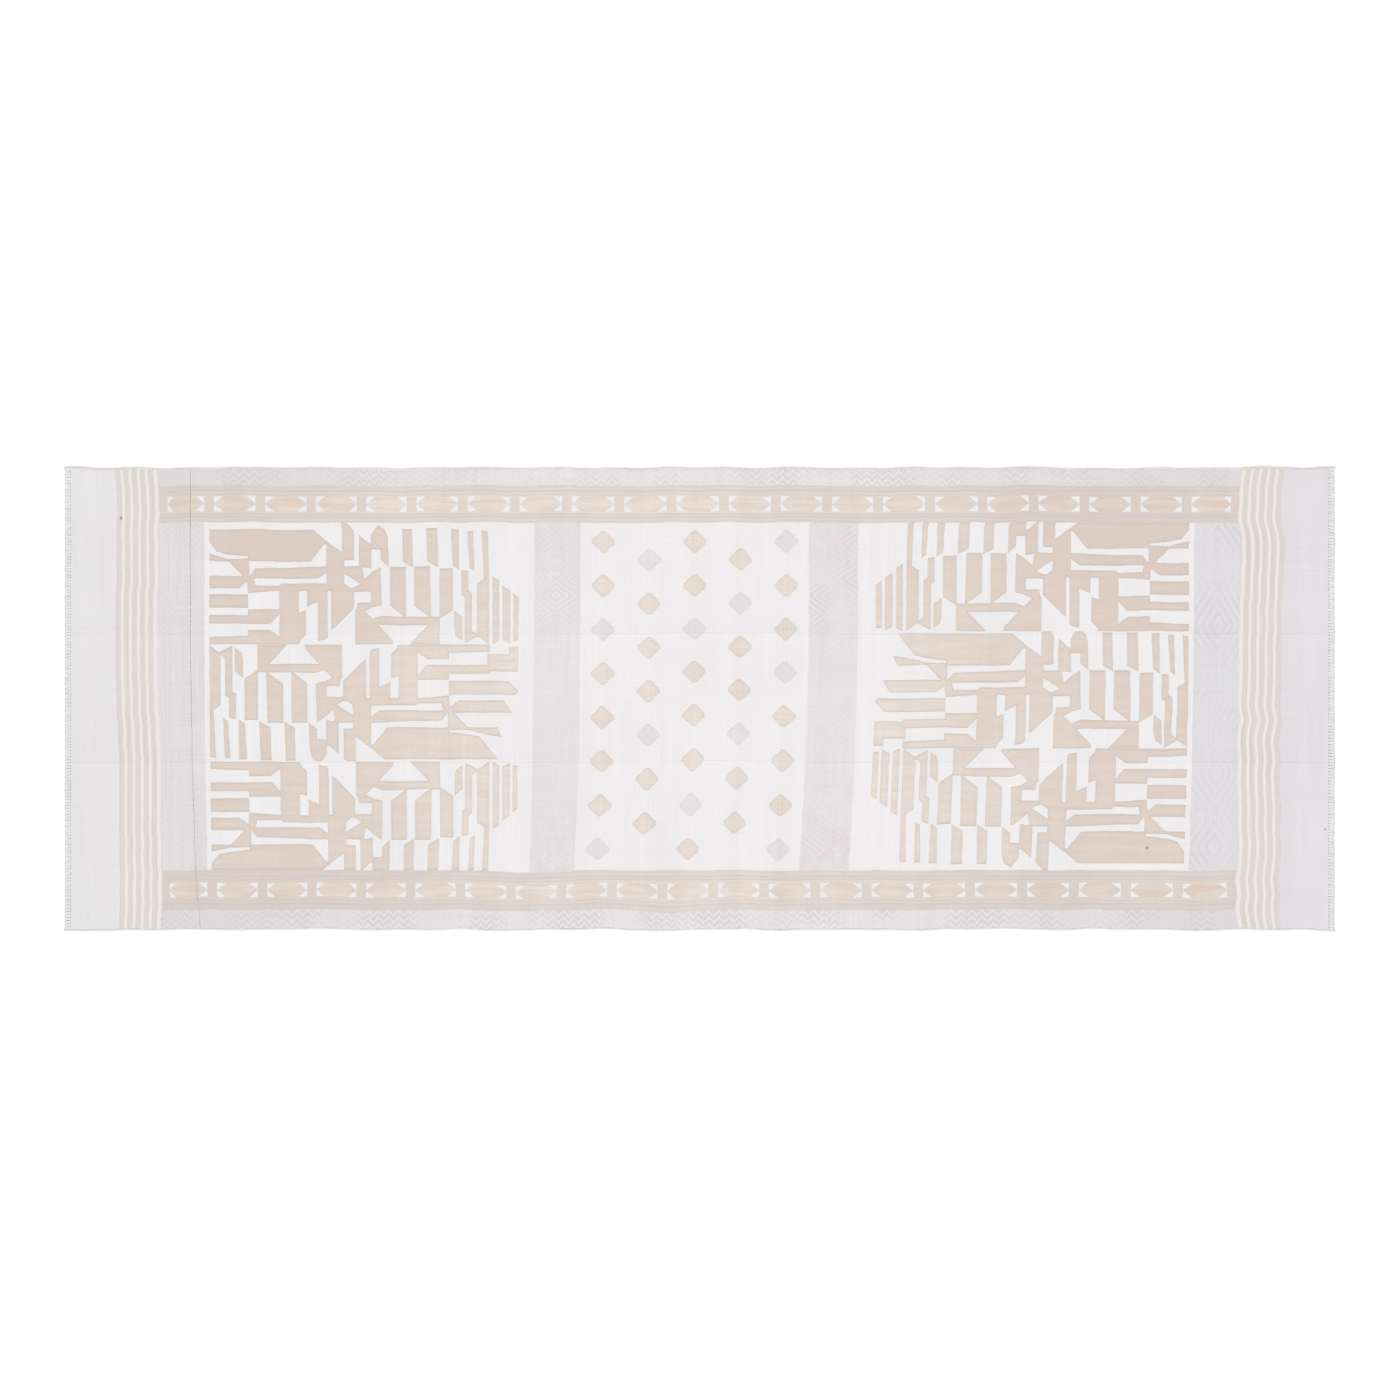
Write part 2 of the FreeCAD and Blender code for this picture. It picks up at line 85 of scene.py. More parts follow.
# How far the weft is pulled along X. The first four lists hold (station along the cloth in
# metres, millimetres of pull): along the back border, along the field's back edge, how much
# more than that it is by the field's front edge, and along the front border. The pull of
# the two striped ends is held as (station across the cloth in metres, millimetres of pull).
weftPull = {
    "backBorder": [(-0.70, -0.7), (-0.652, -1.2), (-0.64, 0), (-0.61, -5), (-0.43, -5.5),
                   (-0.34, -8), (-0.24, -8), (-0.06, -4), (0.06, -1.5), (0.24, -1.5), (0.33, 1),
                   (0.61, 0), (0.645, -0.7), (0.70, 0)],
    "fieldBack": [(-0.70, -0.7), (-0.64, -1.3), (-0.58, 0), (-0.22, 0), (-0.17, -6.6), (0.0, -6),
                  (0.16, -6), (0.21, -5.6), (0.58, -2), (0.645, -0.7), (0.70, 0)],
    "fieldLean": [(-0.645, 0), (-0.615, 3), (-0.45, 3), (-0.30, 1), (-0.24, 0), (-0.18, -7.7),
                  (0.14, -12.8), (0.30, -11), (0.58, -7), (0.62, -6), (0.645, 0)],
    "frontBorder": [(-0.70, -0.7), (-0.652, -1.2), (-0.64, 0.2), (-0.61, -1), (-0.55, -1.5),
                    (-0.30, -10.5), (-0.06, -14), (0.09, -15.5), (0.30, -14.5), (0.61, -10),
                    (0.64, -2.6), (0.652, -0.8), (0.70, 0)],
    "leftEnd": [(-0.27, 4.6), (-0.24, 6.2), (-0.16, 5), (-0.09, 5.2), (-0.06, 4.4), (0.01, 1.6),
                (0.05, 0.4), (0.11, 0.9), (0.15, 2.1), (0.20, 1.4), (0.22, 3), (0.25, 2), (0.27, 0)],
    "rightEnd": [(-0.27, -3.9), (-0.246, -6.8), (-0.232, -5.2), (-0.214, -7.6), (-0.19, -4),
                 (-0.15, -4.2), (-0.09, -6.2), (-0.075, -4.6), (-0.054, -6.2), (-0.025, -2.8),
                 (-0.01, -5.6), (0.03, -3.5), (0.09, -3.5), (0.15, -0.4), (0.175, 1), (0.196, -1.4),
                 (0.214, -4.5), (0.246, -3.2), (0.27, 0)],
    "backEdge": (0.206, 0.216),           # over these distances the field's pull turns into the border's
    "frontEdge": (-0.214, -0.203),
    "endStarts": (0.620, 0.645),          # over these the pull of the striped ends comes in
    "endStops": (0.700, 0.745),           # and dies away again
    "leanFrom": 0.21,                     # the lean starts at this Y and is whole one depth further
    "leanDepth": 0.42,
    "leanMost": 1.15,
    "leanPower": 2.5,
}

# Short waves of the weft: millimetres, and the distances from the middle over which they grow.
weftWaves = {
    "right": 0.9, "rightGrows": (0.46, 0.66),
    "left": 0.7, "leftGrows": (0.52, 0.67),
    "endLoss": 0.75,                      # the share that is lost where the end pull stops
    "bands": 0.55, "bandPlaces": (-0.173, 0.155), "bandWidth": 0.045,
}

# Places where the yarn is pulled furthest, as (X, width along X, Y, width along Y, millimetres):
# one slip of the weft along X, then two bows of the warp towards the back and two sags.
weftSlips = [(-0.06, 0.09, -0.08, 0.08, 2.0)]
warpBows = [(0.02, 0.06, -0.02, 0.10, 3.0), (0.10, 0.04, -0.02, 0.12, 1.2),
            (-0.19, 0.05, -0.215, 0.03, -3.0), (-0.018, 0.032, -0.248, 0.028, -4.2)]


def softStep(low, high, value):
    # 0 below low, 1 above high, and 3t^2 - 2t^3 between them
    t = np.clip((value - low) / (high - low), 0, 1)
    return t * t * (3 - 2 * t)


def hill(value, middle, width):
    # bell curve: e to the minus (distance from the middle over the width) squared
    return np.exp(-((value - middle) / width) ** 2)


def swell(value, wave):
    # sum of sines with the given wavelengths and phases, scaled to about -1 to 1
    lengths, phases = wave
    total = np.zeros_like(value)
    for length, phase in zip(lengths, phases):
        total = total + np.sin(2 * math.pi * value / length + phase)
    return total / len(lengths)


def pulledAt(spots, x, y):
    # metres of pull: the sum over the spots of their pull times a bell curve each way
    total = np.zeros_like(x)
    for middleX, widthX, middleY, widthY, most in spots:
        total = total + most * millimetre * hill(x, middleX, widthX) * hill(y, middleY, widthY)
    return total


def stationed(name, place):
    # metres of pull at a place along or across the cloth: straight runs between the
    # stations of one list
    stations = np.array(weftPull[name], float)
    return np.interp(place, stations[:, 0], stations[:, 1]) * millimetre


def pullX(x, y):
    # in the field a lean grows as a power of the distance towards the front; each border and
    # each striped end has its own pull; and the weft waves a little at the ends and in the
    # cross bands
    fromMiddle = np.abs(x)
    forward = (weftPull["leanFrom"] - y) / weftPull["leanDepth"]
    lean = np.clip(forward, 0, weftPull["leanMost"]) ** weftPull["leanPower"]
    steady = stationed("fieldBack", x) + stationed("fieldLean", x) * lean
    inBack = softStep(*weftPull["backEdge"], y)
    inFront = 1 - softStep(*weftPull["frontEdge"], y)
    steady = steady + inBack * (stationed("backBorder", x) - steady)
    steady = steady + inFront * (stationed("frontBorder", x) - steady)
    stopped = softStep(*weftPull["endStops"], fromMiddle)
    inEnds = softStep(*weftPull["endStarts"], fromMiddle) * (1 - stopped)
    ends = inEnds * np.where(x > 0, stationed("rightEnd", y), stationed("leftEnd", y))
    kept = 1 - weftWaves["endLoss"] * stopped
    right = weftWaves["right"] * softStep(*weftWaves["rightGrows"], x) * kept
    left = weftWaves["left"] * softStep(*weftWaves["leftGrows"], -x) * kept
    bands = weftWaves["bands"] * sum(hill(x, place, weftWaves["bandWidth"])
                                     for place in weftWaves["bandPlaces"])
    waves = (right * swell(y + 0.1 * x, clothWaves["rightWeft"])
             + left * swell(y, clothWaves["leftWeft"])
             + bands * swell(y + 0.5 * x, clothWaves["bandWeft"])) * millimetre
    return steady + pulledAt(weftSlips, x, y) + ends + waves


def pullY(x, y):
    # the long edges wander as the 1.5th power of the distance from the middle, the corners
    # flare as its cube, and the warp waves, bows and sags inside the cloth
    across = np.abs(y / lying["halfWidth"])
    edges = np.where(y > 0, swell(x, clothWaves["backEdge"]), swell(x, clothWaves["frontEdge"]))
    corner = softStep(0.715, 0.750, np.abs(x)) * np.sign(y) * across ** 3
    return (edges * across ** 1.5 * lying["edgeWander"]
            + swell(x + 0.3 * y, clothWaves["warp"]) * lying["warpWave"]
            + pulledAt(warpBows, x, y) + corner * lying["cornerFlare"])


def clothHeight(x, y):
    # height of the cloth's middle: broad ripples, curling rims, puckers and two fold ridges
    broad = swell(x + 0.25 * y, clothWaves["broad"])
    crossing = swell(y - 0.2 * x, clothWaves["crossing"])
    ripple = lying["rippleHeight"] * (0.5 + 0.5 * broad * crossing)
    rim = softStep(0.20, lying["halfWidth"], np.abs(y))
    curl = np.clip(swell(x + 0.9 * np.sign(y), clothWaves["rimCurl"]), 0, 1)
    pucker = 0.5 + 0.5 * swell(x - 0.4 * y, clothWaves["pucker"])
    ends = softStep(0.66, 0.75, np.abs(x))
    endCurl = np.clip(swell(y + 0.3 * np.sign(x), clothWaves["endCurl"]), 0, 1)
    folds = (hill(y, lying["creaseBack"], lying["creaseWidth"])
             + hill(y, lying["creaseFront"], lying["creaseWidth"]))
    return (ripple + rim * (lying["rimLift"] * curl + lying["puckerHeight"] * pucker)
            + ends * lying["endLift"] * endCurl + folds * lying["creaseHeight"])


def lay(flat):
    # flat cloth (x, y, distance above its middle) to where that point lies on the table
    x, y, above = flat[:, 0], flat[:, 1], flat[:, 2]
    height = lying["middleLift"] + clothHeight(x, y) + above
    return np.column_stack([x + pullX(x, y), y + pullY(x, y), height])


def meshPiece(name, flat, faces, laid=None, rim=None):
    # mesh whose points remember where they are on the flat cloth, for the weave to follow,
    # and how near they are to the outline of an inlay: 1 on it, 0 well inside
    mesh = bpy.data.meshes.new(name)
    mesh.from_pydata(lay(flat) if laid is None else laid, [], faces)
    keep = mesh.attributes.new("flat", "FLOAT_VECTOR", "POINT")
    keep.data.foreach_set("vector", flat.astype(np.float32).ravel())
    if rim is not None:
        mesh.attributes.new("rim", "FLOAT", "POINT").data.foreach_set("value", rim.astype(np.float32))
    mesh.polygons.foreach_set("use_smooth", np.ones(len(mesh.polygons), bool))
    mesh.set_sharp_from_angle(angle=math.radians(40))
    mesh.validate()
    piece = bpy.data.objects.new(name, mesh)
    scene.collection.objects.link(piece)
    return piece


def stands(piece, node, material):
    # the piece takes the node's place and finish, and rides with the cloth
    piece.data.materials.append(material)
    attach(piece, "root")
    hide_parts(node)
    return piece


def linear(hexColour):
    # sRGB hex to linear: c/12.92 when small, else ((c + 0.055)/1.055)^2.4
    channels = [int(hexColour[i:i + 2], 16) / 255 for i in (1, 3, 5)]
    curve = [c / 12.92 if c <= 0.04045 else ((c + 0.055) / 1.055) ** 2.4 for c in channels]
    return (*curve, 1)


def addNode(tree, kind, inputs=None, stops=None, **settings):
    # one node, with its settings, its links and, on a ramp, its stops as (place, grey value)
    node = tree.nodes.new(kind)
    for key, value in settings.items():
        setattr(node, key, value)
    if stops:
        elements = node.color_ramp.elements
        elements[0].position, elements[1].position = stops[0][0], stops[-1][0]
        elements[0].color, elements[1].color = (stops[0][1],) * 4, (stops[-1][1],) * 4
        for place, value in stops[1:-1]:
            elements.new(place).color = (value,) * 4
    for key, value in (inputs or {}).items():
        if isinstance(value, bpy.types.NodeSocket):
            tree.links.new(value, node.inputs[key])
        else:
            node.inputs[key].default_value = value
    return node


# how fine each noise is, in turns per metre
noiseScales = {"drift": 55.0, "slow": 7.0, "figure": 16.0}
# painted highlight and shade of a pressed fold, by the distance from it: a light line on its lit side with
# a dark line of shade beside it
creaseLightAndShade = {"reach": 6 * millimetre, "stops": [
    (0.0, 0.5), (0.30, 0.5), (0.38, 0.66), (0.46, 0.5), (0.54, 0.1), (0.62, 0.5), (1.0, 0.5)]}


def lozengeFigure(tree, x, y, figure):
    # nested lozenges: cosine of |along|/half length + |across|/half repeat, over and over
    away = addNode(tree, "ShaderNodeMath", {0: x, 1: figure["middle"]}, operation="SUBTRACT")
    size = addNode(tree, "ShaderNodeMath", {0: away.outputs[0]}, operation="ABSOLUTE")
    along = addNode(tree, "ShaderNodeMath", {0: size.outputs[0], 1: 1 / figure["halfLength"]},
                    operation="MULTIPLY")
    folded = addNode(tree, "ShaderNodeMath", {0: y, 1: figure["repeat"] / 2}, operation="PINGPONG")
    both = addNode(tree, "ShaderNodeMath",
                   {0: folded.outputs[0], 1: 2 / figure["repeat"], 2: along.outputs[0]},
                   operation="MULTIPLY_ADD")
    turns = addNode(tree, "ShaderNodeMath", {0: both.outputs[0], 1: 2 * math.pi * figure["rings"]},
                    operation="MULTIPLY")
    return addNode(tree, "ShaderNodeMath", {0: turns.outputs[0]}, operation="COSINE").outputs[0]


def zigzagFigure(tree, x, y, figure):
    # parallel zigzags: sine of (across + steepness times a triangle wave of along) over spacing
    folded = addNode(tree, "ShaderNodeMath", {0: x, 1: figure["repeat"] / 2}, operation="PINGPONG")
    slanted = addNode(tree, "ShaderNodeMath", {0: folded.outputs[0], 1: figure["steepness"], 2: y},
                      operation="MULTIPLY_ADD")
    turns = addNode(tree, "ShaderNodeMath", {0: slanted.outputs[0], 1: 2 * math.pi / figure["spacing"]},
                    operation="MULTIPLY")
    return addNode(tree, "ShaderNodeMath", {0: turns.outputs[0]}, operation="SINE").outputs[0]


def wovenMaterial(name, cloth):
    # The colour goes from the dark yarn shade to the light one by a sum of the plain weave,
    # thick and thin yarn both ways, slow changes of shade, and painted light and shade
    # along the two pressed folds.
    # Tints, brown knots, a darker outline and a woven figure are then mixed in, in that
    # order, where a cloth has them.
    material = bpy.data.materials.new(name)
    material.use_nodes = True
    tree = material.node_tree
    tree.nodes.clear()
    flat = addNode(tree, "ShaderNodeAttribute", attribute_name="flat").outputs["Vector"]
    flatParts = addNode(tree, "ShaderNodeSeparateXYZ", {0: flat})

    # yarn never runs quite straight, so its place is nudged by a soft noise
    drift = addNode(tree, "ShaderNodeTexNoise", {"Vector": flat, "Scale": noiseScales["drift"],
                                                  "Detail": 2.0})
    centred = addNode(tree, "ShaderNodeVectorMath", {0: drift.outputs["Color"], 1: (0.5, 0.5, 0.5)},
                      operation="SUBTRACT")
    nudged = addNode(tree, "ShaderNodeVectorMath",
                     {0: centred.outputs[0], 1: (cloth["drift"],) * 3, 2: flat}, operation="MULTIPLY_ADD")
    threads = addNode(tree, "ShaderNodeSeparateXYZ", {0: nudged.outputs[0]})
    x, y = threads.outputs[0], threads.outputs[1]

    # plain weave: sine across the warp times sine across the weft
    turn = math.pi / cloth["threadSpacing"]
    warpAngle = addNode(tree, "ShaderNodeMath", {0: y, 1: turn}, operation="MULTIPLY")
    weftAngle = addNode(tree, "ShaderNodeMath", {0: x, 1: turn}, operation="MULTIPLY")
    warpSine = addNode(tree, "ShaderNodeMath", {0: warpAngle.outputs[0]}, operation="SINE")
    weftSine = addNode(tree, "ShaderNodeMath", {0: weftAngle.outputs[0]}, operation="SINE")
    weave = addNode(tree, "ShaderNodeMath", {0: warpSine.outputs[0], 1: weftSine.outputs[0]},
                    operation="MULTIPLY").outputs[0]

    # slubs are noise drawn out along the yarn, and bands are the same thing much wider
    weights = cloth["weights"]
    slow = addNode(tree, "ShaderNodeTexNoise", {"Vector": flat, "Scale": noiseScales["slow"],
                                                "Detail": 2.0})
    layers = [(slow.outputs["Fac"], weights["slow"])]
    for key, detail in (("warp", 3.0), ("weft", 3.0), ("bands", 1.0)):
        drawn = addNode(tree, "ShaderNodeVectorMath", {0: flat, 1: cloth[key + "Drawn"]},
                        operation="MULTIPLY")
        noise = addNode(tree, "ShaderNodeTexNoise",
                        {"Vector": drawn.outputs[0], "Scale": 1.0, "Detail": detail})
        layers.append((noise.outputs["Fac"], weights[key]))

    total = addNode(tree, "ShaderNodeMath", {0: weave, 1: weights["weave"], 2: cloth["balance"]},
                    operation="MULTIPLY_ADD").outputs[0]
    for source, weight in layers:
        middle = addNode(tree, "ShaderNodeMath", {0: source, 1: 0.5}, operation="SUBTRACT")
        total = addNode(tree, "ShaderNodeMath", {0: middle.outputs[0], 1: weight, 2: total},
                        operation="MULTIPLY_ADD").outputs[0]

    # painted light and shade of the two pressed folds: the light line and the dark line stand in for the
    # lit and shaded sides of each crease
    for place in (lying["creaseBack"], lying["creaseFront"]):
        away = addNode(tree, "ShaderNodeMath", {0: y, 1: place}, operation="SUBTRACT")
        reach = addNode(tree, "ShaderNodeMapRange",
                        {0: away.outputs[0], 1: -creaseLightAndShade["reach"], 2: creaseLightAndShade["reach"]})
        line = addNode(tree, "ShaderNodeValToRGB", {0: reach.outputs[0]}, stops=creaseLightAndShade["stops"])
        shift = addNode(tree, "ShaderNodeMath", {0: line.outputs[0], 1: 0.5}, operation="SUBTRACT")
        total = addNode(tree, "ShaderNodeMath", {0: shift.outputs[0], 1: weights["fold"], 2: total},
                        operation="MULTIPLY_ADD").outputs[0]

    colour = addNode(tree, "ShaderNodeMix",
                     {0: total, 6: linear(cloth["dark"]), 7: linear(cloth["light"])},
                     data_type="RGBA").outputs[2]

    for tint in cloth["tints"]:
        # shade shared out by the distance along or across the cloth, in patches where asked
        place = flatParts.outputs[tint["axis"]]
        if tint.get("mirrored"):
            place = addNode(tree, "ShaderNodeMath", {0: place}, operation="ABSOLUTE").outputs[0]
        reach = addNode(tree, "ShaderNodeMapRange", {0: place, 1: tint["low"], 2: tint["high"]})
        ramp = addNode(tree, "ShaderNodeValToRGB", {0: reach.outputs[0]}, stops=tint["stops"])
        share = ramp.outputs[0]
        if "patches" in tint:
            drawn = addNode(tree, "ShaderNodeVectorMath", {0: flat, 1: tint["patches"]},
                            operation="MULTIPLY")
            blots = addNode(tree, "ShaderNodeTexNoise", {"Vector": drawn.outputs[0], "Scale": 1.0})
            spread = addNode(tree, "ShaderNodeMapRange", {0: blots.outputs["Fac"], 1: 0.44, 2: 0.58})
            share = addNode(tree, "ShaderNodeMath", {0: share, 1: spread.outputs[0]},
                            operation="MULTIPLY").outputs[0]
        colour = addNode(tree, "ShaderNodeMix", {0: share, 6: colour, 7: linear(tint["colour"])},
                         data_type="RGBA").outputs[2]

    # the surface stands up by half the weave plus the thick and thin yarn both ways
    relief = addNode(tree, "ShaderNodeMath", {0: weave, 1: 0.5, 2: layers[1][0]},
                     operation="MULTIPLY_ADD").outputs[0]
    relief = addNode(tree, "ShaderNodeMath", {0: relief, 1: layers[2][0]}).outputs[0]

    for knotX, knotY, radius in cloth.get("knots", []):
        # a small brown knot or husk caught in the yarn: full to half its radius, gone at its edge
        away = addNode(tree, "ShaderNodeVectorMath", {0: nudged.outputs[0], 1: (knotX, knotY, 0.0)},
                       operation="DISTANCE")
        share = addNode(tree, "ShaderNodeMapRange", {0: away.outputs["Value"], 1: radius * 0.5,
                                                     2: radius, 3: cloth["knotShare"], 4: 0.0})
        colour = addNode(tree, "ShaderNodeMix",
                         {0: share.outputs[0], 6: colour, 7: linear(cloth["knotColour"])},
                         data_type="RGBA").outputs[2]

    if "rim" in cloth:
        # the yarn turns back along the outline, where it lies double and looks darker
        near = addNode(tree, "ShaderNodeAttribute", attribute_name="rim").outputs["Fac"]
        uneven = addNode(tree, "ShaderNodeMath",
                         {0: layers[2][0], 1: cloth["rimUneven"], 2: cloth["rimShare"]},
                         operation="MULTIPLY_ADD")
        share = addNode(tree, "ShaderNodeMath", {0: near, 1: uneven.outputs[0]}, operation="MULTIPLY")
        colour = addNode(tree, "ShaderNodeMix", {0: share.outputs[0], 6: colour, 7: linear(cloth["rim"])},
                         data_type="RGBA").outputs[2]

    if "figure" in cloth:
        # the figure is strong in some patches and faint in others, and more so at some
        # places across the cloth
        figure = cloth["figure"]
        draw = zigzagFigure if figure["kind"] == "zigzag" else lozengeFigure
        shape = draw(tree, x, y, figure)
        edge = addNode(tree, "ShaderNodeMapRange", {0: shape, 1: -0.5, 2: 0.5, 3: 0.0, 4: 1.0})
        patch = addNode(tree, "ShaderNodeTexNoise", {"Vector": flat, "Scale": noiseScales["figure"],
                                                     "Detail": 1.0})
        fade = addNode(tree, "ShaderNodeMapRange", {0: patch.outputs["Fac"], 1: 0.40, 2: 0.60,
                                                    3: figure["faint"], 4: figure["strong"]})
        reach = addNode(tree, "ShaderNodeMapRange",
                        {0: flatParts.outputs[1], 1: -lying["halfWidth"], 2: lying["halfWidth"]})
        where = addNode(tree, "ShaderNodeValToRGB", {0: reach.outputs[0]}, stops=figure["where"])
        here = addNode(tree, "ShaderNodeMath", {0: fade.outputs[0], 1: where.outputs[0]},
                       operation="MULTIPLY")
        share = addNode(tree, "ShaderNodeMath", {0: edge.outputs[0], 1: here.outputs[0]},
                        operation="MULTIPLY")
        colour = addNode(tree, "ShaderNodeMix",
                         {0: share.outputs[0], 6: colour, 7: linear(figure["colour"])},
                         data_type="RGBA").outputs[2]
        relief = addNode(tree, "ShaderNodeMath", {0: share.outputs[0], 1: 0.8, 2: relief},
                         operation="MULTIPLY_ADD").outputs[0]

    bump = addNode(tree, "ShaderNodeBump", {"Height": relief, "Strength": cloth["bump"],
                                            "Distance": cloth["reliefDepth"]})
    shader = addNode(tree, "ShaderNodeBsdfPrincipled", {
        "Base Color": colour, "Normal": bump.outputs[0], "Roughness": cloth["roughness"],
        "Specular IOR Level": 0.2, "Sheen Weight": cloth["sheen"], "Sheen Roughness": 0.6,
    })
    addNode(tree, "ShaderNodeOutputMaterial", {"Surface": shader.outputs[0]})
    return material


def variant(base, **changes):
    # a cloth's settings with some of them changed
    made = dict(base)
    made.update(changes)
    return made


# Threads in such a cloth lie about 0.5 mm apart. They are drawn 1.6 mm apart, because
# finer ones would not show at all with the whole cloth in view.
plainCotton = {
    "dark": "#D6D3D5", "light": "#EBE9EA", "balance": 0.62, "drift": 0.0022,
    "threadSpacing": 1.6 * millimetre,
    "warpDrawn": (9, 420, 1), "weftDrawn": (420, 9, 1), "bandsDrawn": (42, 1.5, 1),
    # the last weight sets how strongly the painted highlight and shade of the pressed folds show
    "weights": {"weave": 0.12, "warp": 0.3, "weft": 0.4, "bands": 0.3, "slow": 0.3, "fold": 0.7},
    "bump": 0.35, "reliefDepth": 0.4 * millimetre, "roughness": 0.92, "sheen": 0.05,
    "knotColour": "#8A7468", "knotShare": 0.75,
    # between the end stripes the ground's weft is cream
    "tints": [{"axis": 0, "mirrored": True, "low": 0.645, "high": 0.700, "colour": "#E2DDD9",
               "stops": [(0.0, 0.0), (0.03, 1.0), (0.95, 1.0), (1.0, 0.0)]}],
}
# hand-loomed unbleached cotton muslin: soft white, with slubs both ways
groundCotton = wovenMaterial("handloomed_white_muslin", plainCotton)

# the same muslin with a grey weft on the left and a pinkish one on the right: a quieter white
headingLeftCotton = wovenMaterial("muslin_heading_grey_weft", variant(
    plainCotton, dark="#CDCBCC", light="#E3E1E2", tints=[], knots=[(-0.7290, -0.2545, 0.0012)]))
headingRightCotton = wovenMaterial("muslin_heading_pink_weft", variant(
    plainCotton, dark="#CAC5C9", light="#E2DDE1", tints=[], knots=[(0.7440, -0.1548, 0.0014)]))

# undyed beige cotton laid in as a second weft: matt, with ribs along the warp
endShade = {"axis": 0, "mirrored": True, "low": 0.20, "high": 0.60,
            "stops": [(0.0, 0.0), (0.45, 0.35), (0.7, 0.5), (1.0, 0.48)]}
backShade = {"axis": 1, "low": 0.05, "high": 0.15, "colour": "#CCB9AE", "stops": [(0.0, 0.0), (1.0, 0.3)]}
dyeStreaks = {"axis": 0, "mirrored": True, "low": 0.20, "high": 0.60, "colour": "#D2BFB5",
              "patches": (16, 110, 1), "stops": [(0.0, 0.25), (1.0, 0.4)]}
beigeCotton = variant(
    plainCotton, dark="#D2C9C1", light="#E8DFD8", balance=0.5, bump=0.45, warpDrawn=(14, 520, 1),
    weights={"weave": 0.12, "warp": 0.8, "weft": 0.7, "bands": 0.5, "slow": 0.6, "fold": 0.3},
    tints=[variant(endShade, colour="#C9BAB1"), backShade, dyeStreaks],
    rim="#BEB0A0", rimShare=0.38, rimUneven=0.5)
beigePanelCotton = wovenMaterial("beige_inlay_cotton_panel", variant(
    beigeCotton, knots=[(0.5410, -0.1770, 0.0026)]))
beigeDiamondCotton = wovenMaterial("beige_inlay_cotton_diamond", variant(
    beigeCotton, dark="#D0C4BA", light="#E8DED6", tints=[], rimShare=0.15, rimUneven=0.4))


def rimLines(inner, width):
    # darker warp lines in the two rims of a border, by the distance from its inner edge
    return {"axis": 1, "mirrored": True, "low": inner, "high": inner + width, "colour": "#C4BAB0",
            "stops": [(0.0, 0.3), (0.04, 0.4), (0.07, 0.25), (0.12, 0.25), (0.15, 0.6), (0.18, 0.2),
                      (0.24, 0.5), (0.27, 0.0), (0.72, 0.0), (0.75, 0.5), (0.78, 0.2), (0.82, 0.2),
                      (0.85, 0.65), (0.88, 0.3), (0.93, 0.25), (0.97, 0.4), (1.0, 0.3)]}


# both borders deepen towards their ends, the back one more so on the right
borderShades = {
    "back": [(0.05, 0.25), (0.15, 0.23), (0.25, 0.12), (0.4, 0.03), (0.55, 0.07), (0.65, 0.13),
             (0.75, 0.26), (0.85, 0.42), (0.95, 0.33)],
    "front": [(0.05, 0.35), (0.15, 0.35), (0.25, 0.22), (0.45, 0.0), (0.55, 0.02), (0.65, 0.08),
              (0.75, 0.22), (0.85, 0.35), (0.95, 0.22)],
}
endsOf = {side: {"axis": 0, "low": -0.64, "high": 0.64, "colour": "#C2B4AE", "stops": stops}
          for side, stops in borderShades.items()}
windowBars = {"axis": 1, "mirrored": True, "colour": "#D5C6B9",
              "stops": [(0.0, 0.0), (0.27, 0.0), (0.31, 0.45), (0.69, 0.45), (0.73, 0.0), (1.0, 0.0)]}
borderYarn = variant(
    beigeCotton, dark="#D0C8C2", light="#E5DFDA", rimShare=0.0, rimUneven=0.0,
    weights={"weave": 0.12, "warp": 1.0, "weft": 0.4, "bands": 0.6, "slow": 0.6, "fold": 0.0})
borderSizes = {side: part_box("border_" + side) for side in ("back", "front")}
borderCotton = {}
for side, (low, high) in borderSizes.items():
    inner = min(abs(low.y), abs(high.y))
    borderCotton[side] = wovenMaterial("beige_border_cotton_" + side, variant(
        borderYarn, tints=[rimLines(inner, high.y - low.y),
                           variant(windowBars, low=inner, high=inner + high.y - low.y), endsOf[side]]))
medallionCotton = wovenMaterial("beige_medallion_cotton", variant(
    borderYarn, dark="#D3C9C0", light="#E8DFD7",
    tints=[variant(endsOf["back"], colour="#C6B5A9"), variant(dyeStreaks, colour="#CDB3A6")]))

# beige weft stripes, beaten in by hand: matt, slightly uneven
stripeCotton = wovenMaterial("beige_stripe_cotton", variant(
    plainCotton, dark="#C6C0BA", light="#DFD8D3", balance=0.5, tints=[],
    knots=[(-0.6905, 0.2155, 0.0026)],
    weights={"weave": 0.12, "warp": 0.4, "weft": 0.8, "bands": 0.0, "slow": 0.4, "fold": 0.4}))

# grey cotton inlay, its figure in the same yarn: only the thread's direction changes
greyCotton = variant(
    plainCotton, dark="#CFCDCE", light="#E4E2E3", balance=0.5, tints=[],
    weights={"weave": 0.12, "warp": 0.5, "weft": 0.6, "bands": 0.3, "slow": 0.3, "fold": 0.9})
greyDiamondCotton = wovenMaterial("grey_inlay_cotton_diamond", variant(
    greyCotton, dark="#CBC9CB", light="#E3E1E2", rim="#C6C3C6", rimShare=0.2, rimUneven=0.4))
lozenges = {"kind": "lozenge", "halfLength": 0.029, "repeat": 0.041, "rings": 3.0,
            "colour": "#D2C8CA", "faint": 0.1,
            "where": [(0.0, 0.7), (0.12, 0.8), (0.25, 0.25), (0.55, 0.2), (0.66, 0.5), (0.72, 1.0),
                      (1.0, 1.0)]}
